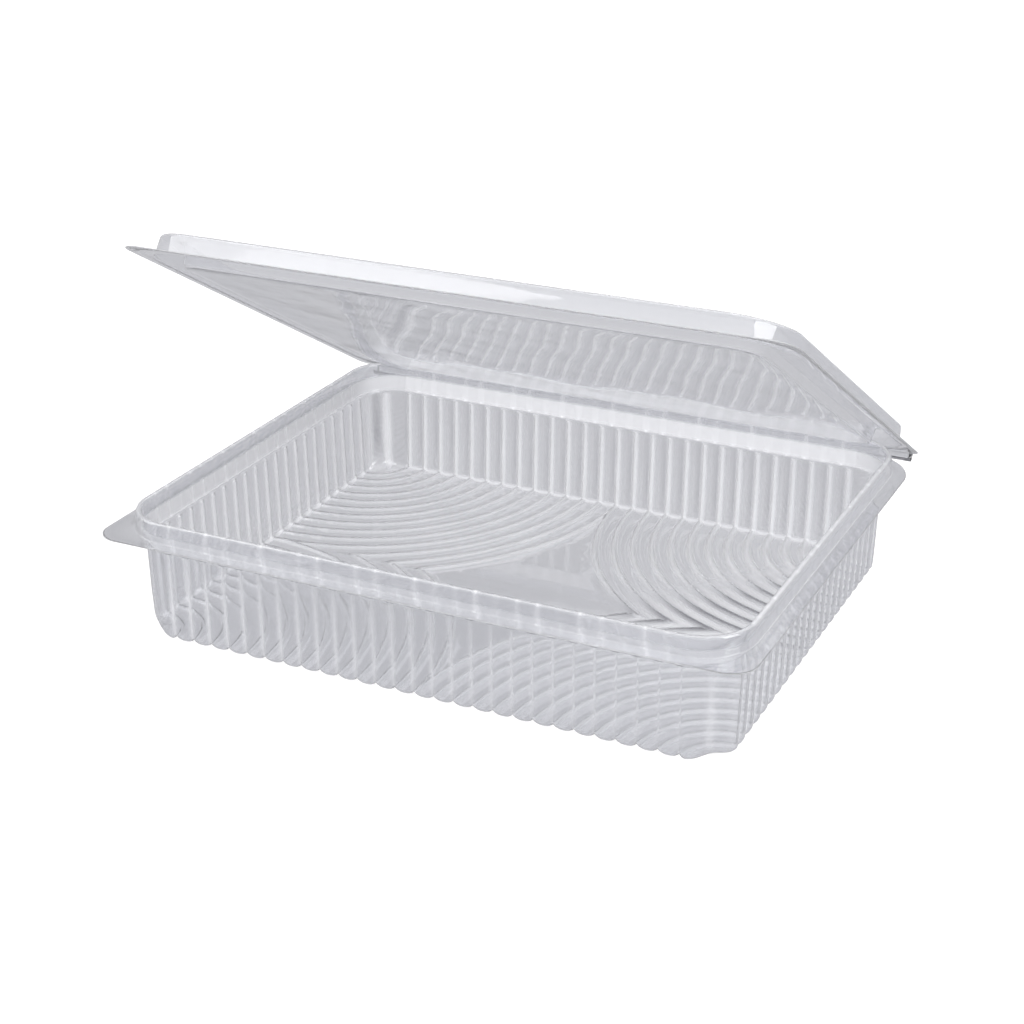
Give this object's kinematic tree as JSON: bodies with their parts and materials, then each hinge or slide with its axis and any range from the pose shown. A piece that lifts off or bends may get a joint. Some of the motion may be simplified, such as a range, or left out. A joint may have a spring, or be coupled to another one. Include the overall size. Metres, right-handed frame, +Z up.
{
  "type": "takeaway meal container",
  "caption": "Clear hinged takeaway meal container: a ribbed tray with a raised rim and flange, and a shallow lid with a raised hollow border, which swings up on a bead along the back edge.",
  "frame": {"origin": "middle of the flat field in the centre of the tray's floor, on its underside", "axes": "+X along the hinge edge, to the right when the open mouth is looked into; +Y from the opening edge back to the hinge; +Z up out of the tray"},
  "size_m": [0.24, 0.1964, 0.1412],
  "materials": {
    "tray": "clear, smooth and glossy",
    "lid": "clear, smooth and glossy"
  },
  "bodies": {
    "tray": {"tray": "tray"},
    "lid": {"lid": "lid"}
  },
  "joints": [
    {"name": "lid_hinge", "type": "hinge", "parent": "tray", "child": "lid", "pos_m": [0, 0.0971, 0.0395], "axis": [-1, 0, 0], "range_deg": [-30, 150]}
  ]
}
